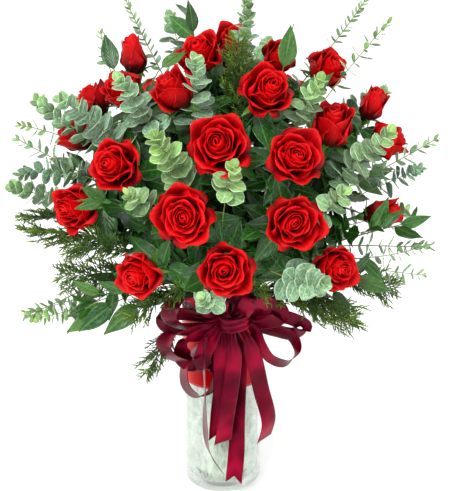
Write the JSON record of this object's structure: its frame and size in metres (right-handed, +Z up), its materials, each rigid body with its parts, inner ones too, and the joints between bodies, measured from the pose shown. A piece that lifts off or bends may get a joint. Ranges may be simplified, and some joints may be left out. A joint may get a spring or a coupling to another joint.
{
  "type": "roses in a vase",
  "caption": "Dome of cut red roses with eucalyptus, ruscus and cedar in a straight glass cylinder vase, lined with crinkled film and tied with a satin band and a looped ribbon bow.",
  "frame": {"origin": "centre of the vase's flat foot", "axes": "+Z up the vase, -Y towards the front of the bouquet where the bow is tied, +X to the right seen from the front"},
  "size_m": [0.6051, 0.5158, 0.751],
  "materials": {
    "clear_glass": "clear pressed soda-lime glass with a faint green cast",
    "clear_film": "crinkled clear cellulose film",
    "red_satin": "bright red woven satin",
    "wine_satin": "wine-red woven satin ribbon",
    "rose_petal": "velvety scarlet petal",
    "silver_leaf": "waxy blue-green leaf",
    "green_leaf": "glossy deep green leaf and stem",
    "cedar_leaf": "fine scale-leaved evergreen spray"
  },
  "bodies": {
    "root": {"vase": "clear_glass", "film_sleeve": "clear_film", "satin_band": "red_satin", "bow_ribbon": "wine_satin", "ribbon_tail_1": "wine_satin", "ribbon_tail_2": "wine_satin", "ribbon_tail_3": "wine_satin", "ribbon_tail_4": "wine_satin", "ribbon_tail_5": "wine_satin", "rose_01": "rose_petal", "rose_02": "rose_petal", "rose_03": "rose_petal", "rose_04": "rose_petal", "rose_05": "rose_petal", "rose_06": "rose_petal", "rose_07": "rose_petal", "rose_08": "rose_petal", "rose_09": "rose_petal", "rose_10": "rose_petal", "rose_11": "rose_petal", "rose_12": "rose_petal", "rose_13": "rose_petal", "rose_14": "rose_petal", "rose_15": "rose_petal", "rose_16": "rose_petal", "rose_17": "rose_petal", "rose_18": "rose_petal", "rose_19": "rose_petal", "rose_20": "rose_petal", "rose_21": "rose_petal", "rose_22": "rose_petal", "rose_23": "rose_petal", "rose_24": "rose_petal", "rose_25": "rose_petal", "rose_26": "rose_petal", "rose_27": "rose_petal", "rose_28": "rose_petal", "rose_29": "rose_petal", "eucalyptus_01": "silver_leaf", "eucalyptus_02": "silver_leaf", "eucalyptus_03": "silver_leaf", "eucalyptus_04": "silver_leaf", "eucalyptus_05": "silver_leaf", "eucalyptus_06": "silver_leaf", "eucalyptus_07": "silver_leaf", "eucalyptus_08": "silver_leaf", "eucalyptus_09": "silver_leaf", "eucalyptus_10": "silver_leaf", "eucalyptus_11": "silver_leaf", "eucalyptus_12": "silver_leaf", "eucalyptus_13": "silver_leaf", "ruscus_01": "green_leaf", "ruscus_02": "green_leaf", "ruscus_03": "green_leaf", "ruscus_04": "green_leaf", "cedar_01": "cedar_leaf", "cedar_02": "cedar_leaf", "cedar_03": "cedar_leaf", "cedar_04": "cedar_leaf"}
  },
  "joints": []
}
